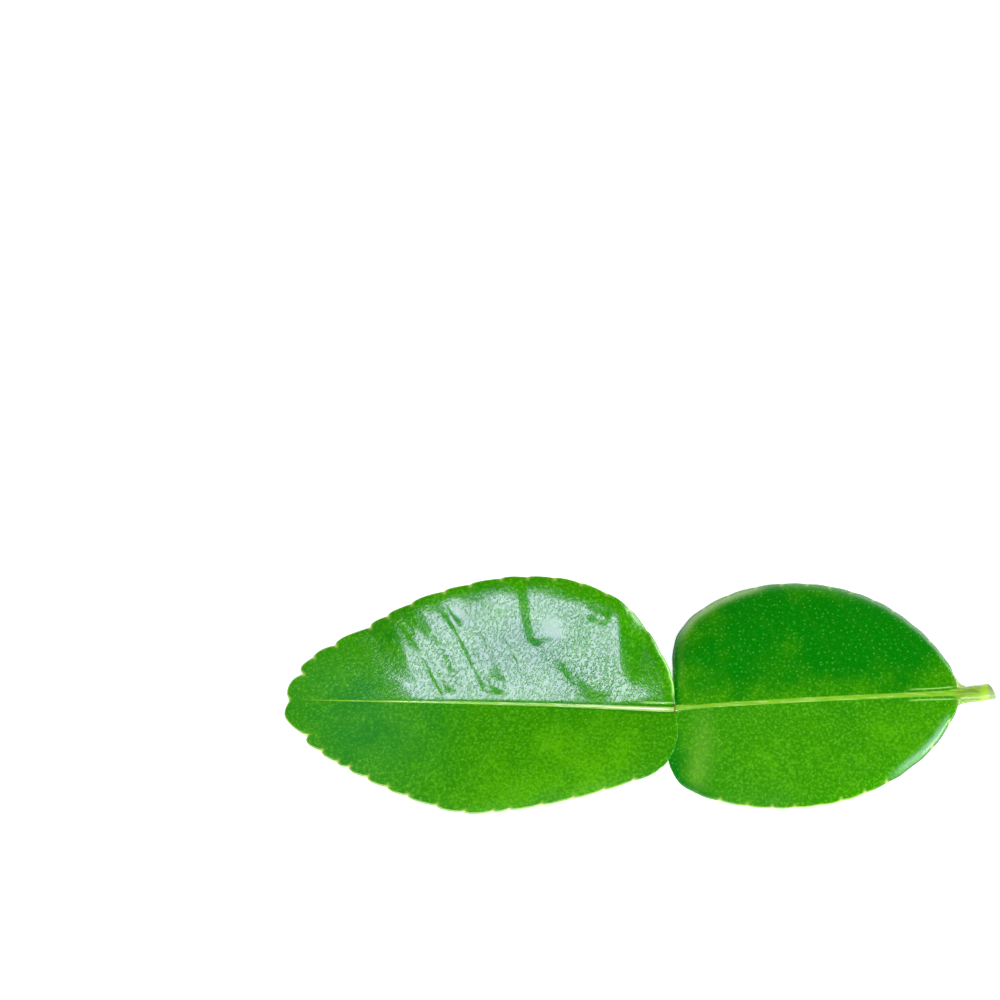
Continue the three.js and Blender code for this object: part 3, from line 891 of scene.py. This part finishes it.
def wax_relief(tree, place, skin):
    """Flat-topped leathery grain drawn out slantwise, with narrow gaps, and the glands raised."""
    slanted = add(tree, "ShaderNodeMapping", {
        "vector_type": "TEXTURE", "Rotation": (0, 0, math.radians(GRAIN_ANGLE)),
        "Scale": (GRAIN_STRETCH, 1, 1),
    }, {"Vector": place}).outputs["Vector"]
    lumps = add(tree, "ShaderNodeTexNoise", {
        "Scale": 1 / (GRAIN_SIZE * MM), "Detail": 3.0, "Roughness": 0.6,
    }, {"Vector": slanted}).outputs["Fac"]
    grain = presence(tree, {"lumps": lumps, "coarseness": skin["grain"]}, 1,
                     ("lumps", 0.34, 0.54), ("coarseness",))
    relief = add(tree, "ShaderNodeMath", {"operation": "MULTIPLY_ADD", 1: 0.1},
                 {0: skin["gland"], 2: grain}).outputs[0]
    return add(tree, "ShaderNodeBump", {"Strength": 1.0, "Distance": GRAIN_HEIGHT * MM},
               {"Height": relief}).outputs["Normal"]


def upper_face_material():
    """Living citrus leaf, glossy side: a smooth wax layer over deep green tissue.
    The wax gives a clear, slightly broken sheen; oil glands show as pale pinpricks."""
    material, tree = new_material("citrus_leaf_waxy_upper")
    place, skin = leaf_skin(tree, ["along", "bloom", "deep", "edge", "flank", "grain", "notch",
                                   "ridge", "vein"])
    skin["from_joint"] = add(tree, "ShaderNodeMath", {"operation": "ABSOLUTE"},
                             {0: skin["along"]}).outputs[0]
    skin["fleck"] = add(tree, "ShaderNodeTexNoise", {
        "Scale": 1 / (FLECK_SIZE * MM), "Detail": 2.0,
    }, {"Vector": place}).outputs["Fac"]
    skin["depth"] = depth_of_green_and_shading(tree, place, skin["deep"])
    skin["gland"] = oil_glands(tree, place)
    skin["fibre"] = fibres(tree, place)
    colour = midrib_and_stalk(tree, skin, lamina_colour(tree, skin))
    rough = add(tree, "ShaderNodeMapRange", {"To Min": 0.18, "To Max": 0.28},
                {"Value": skin["fleck"]}).outputs["Result"]
    bump = wax_relief(tree, place, skin)

    # the wax thins out on the rims beside the joint
    bare = presence(tree, skin, 1, ("edge", 0.3, 0.12), ("from_joint", 8, 4))
    wax_weight = add(tree, "ShaderNodeMath", {"operation": "SUBTRACT", 0: 1.0}, {1: bare}).outputs[0]

    wax = add(tree, "ShaderNodeBsdfPrincipled", {
        "IOR": 1.45, "Specular IOR Level": 0.2, "Coat Roughness": 0.085, "Coat IOR": 1.5,
    }, {"Base Color": colour, "Roughness": rough, "Coat Weight": wax_weight, "Normal": bump,
        "Coat Normal": bump})
    shine_through(tree, wax, colour)
    return material


def vein_net(tree, place):
    """The net of fine veins below: the walls of cells, bent a little."""
    wander = add(tree, "ShaderNodeTexNoise", {"Scale": 1 / (NET_WANDER * MM), "Detail": 2.0},
                 {"Vector": place}).outputs["Color"]
    bent = add(tree, "ShaderNodeVectorMath", {
        "operation": "MULTIPLY_ADD", 1: (NET_WANDER * MM,) * 3,
    }, {0: wander, 2: place}).outputs[0]
    cells = add(tree, "ShaderNodeTexVoronoi", {
        "feature": "DISTANCE_TO_EDGE", "Scale": 1 / (NET_SIZE * MM),
    }, {"Vector": bent}).outputs["Distance"]
    return presence(tree, {"cells": cells}, 1, ("cells", 0.14, 0.02))


def underside_material():
    """The same leaf from below: no wax layer, so it is paler and matt, with a net of fine
    veins and dark pinpricks where the oil glands lie."""
    material, tree = new_material("citrus_leaf_matt_underside")
    place, skin = leaf_skin(tree, ["along", "edge", "ridge", "vein"])
    skin["drift"] = add(tree, "ShaderNodeTexNoise", {
        "Scale": 1 / (DRIFT_SIZE * MM), "Detail": 3.0,
    }, {"Vector": place}).outputs["Fac"]
    skin["gland"] = add(tree, "ShaderNodeTexVoronoi", {
        "Scale": 1 / (LOWER_GLAND_SPACING * MM), "Randomness": 0.9,
    }, {"Vector": place}).outputs["Distance"]
    skin["net"] = vein_net(tree, place)
    colour = lay_over(tree, skin, "#63993f", [
        ("#74a84e", 1, ("drift", 0.35, 0.65)),
        ("#467f2a", 0.5, ("gland", 0.2, 0.08)),
        ("#9cc873", 0.25, ("net",)),
        ("#a9cf78", 0.7, ("vein",)),
        ("#a5cf3e", 0.6, ("edge", 0.35, 0.1)),
        ("#b3d46a", 1, ("ridge", 1.8, 1.2)),
        ("#a3cf45", 1, ("along", 45.5, 48.5)),
    ])
    bump = add(tree, "ShaderNodeBump", {"Strength": 1.0, "Distance": NET_HEIGHT * MM},
               {"Height": skin["net"]}).outputs["Normal"]
    matt = add(tree, "ShaderNodeBsdfPrincipled", {"IOR": 1.42, "Roughness": 0.62},
               {"Base Color": colour, "Normal": bump})
    shine_through(tree, matt, colour)
    return material


# ---------------------------------------------------------------------------
# Stage
# ---------------------------------------------------------------------------

LOOK_AT = Vector((-0.0232, 0.0366, 0))
CAMERA_HEIGHT_ANGLE = 64
CAMERA_DISTANCE = 0.406
CAMERA_VIEW_ANGLE = 24


def make_floor():
    """A white acrylic table, lit from inside so that shadows on it stay faint."""
    size = 1.5
    mesh = bpy.data.meshes.new("table_top")
    mesh.from_pydata([(-size, -size, 0), (size, -size, 0), (size, size, 0), (-size, size, 0)],
                     [], [(0, 1, 2, 3)])
    material, tree = new_material("white_acrylic_table")
    face = add(tree, "ShaderNodeBsdfPrincipled", {
        "Base Color": linear("#f4f4f4"), "Roughness": 0.6,
        "Emission Color": linear("#ffffff"), "Emission Strength": 0.5,
    })
    add(tree, "ShaderNodeOutputMaterial", {}, {"Surface": face.outputs[0]})
    mesh.materials.append(material)
    floor = bpy.data.objects.new("table_top", mesh)
    bpy.context.scene.collection.objects.link(floor)


def area_light(name, place, aim, size, power, colour="#ffffff"):
    data = bpy.data.lights.new(name, "AREA")
    data.shape = "RECTANGLE"
    data.size, data.size_y = size
    data.energy = power
    data.color = linear(colour)[:3]
    light = bpy.data.objects.new(name, data)
    light.location = place
    light.rotation_euler = (Vector(aim) - Vector(place)).to_track_quat("-Z", "Y").to_euler()
    bpy.context.scene.collection.objects.link(light)


def make_lights():
    overhead = (-0.1, -0.04, 0.8)
    area_light("overhead_softbox", overhead, (-0.1, -0.04, 0), (0.29, 0.19), 2.75, "#dcd4ff")
    area_light("front_softbox", (0.1, -0.8, 0.5), (0, 0, 0), (0.9, 0.5), 7.0)
    area_light("side_window", (0.78, 0.12, 0.42), (0, 0, 0), (1.2, 0.19), 6.5)
    world = bpy.data.worlds.new("studio")
    world.use_nodes = True
    tree = world.node_tree
    tree.nodes.clear()
    direction = add(tree, "ShaderNodeTexCoord").outputs["Generated"]
    height = add(tree, "ShaderNodeSeparateXYZ", {}, {0: direction}).outputs["Z"]
    wall = add(tree, "ShaderNodeValToRGB", {"stops": [
        (0.0, "#ffffff"), (0.15, "#ffffff"), (0.35, "#bcbcbc"), (0.55, "#141414"),
        (1.0, "#0c0c0c"),
    ]}, {0: height}).outputs[0]
    background = add(tree, "ShaderNodeBackground", {"Strength": 2.0}, {"Color": wall})
    add(tree, "ShaderNodeOutputWorld", {}, {"Surface": background.outputs[0]})
    bpy.context.scene.world = world
    bpy.context.scene.view_settings.view_transform = "Standard"


def make_camera():
    angle = math.radians(CAMERA_HEIGHT_ANGLE)
    data = bpy.data.cameras.new("camera")
    data.angle = math.radians(CAMERA_VIEW_ANGLE)
    data.clip_start = 0.01
    camera = bpy.data.objects.new("camera", data)
    camera.location = LOOK_AT + CAMERA_DISTANCE * Vector((0, -math.cos(angle), math.sin(angle)))
    camera.rotation_euler = (math.radians(90) - angle, 0, 0)
    bpy.context.scene.collection.objects.link(camera)
    bpy.context.scene.camera = camera


make_camera()
make_floor()
make_lights()
make_leaf()
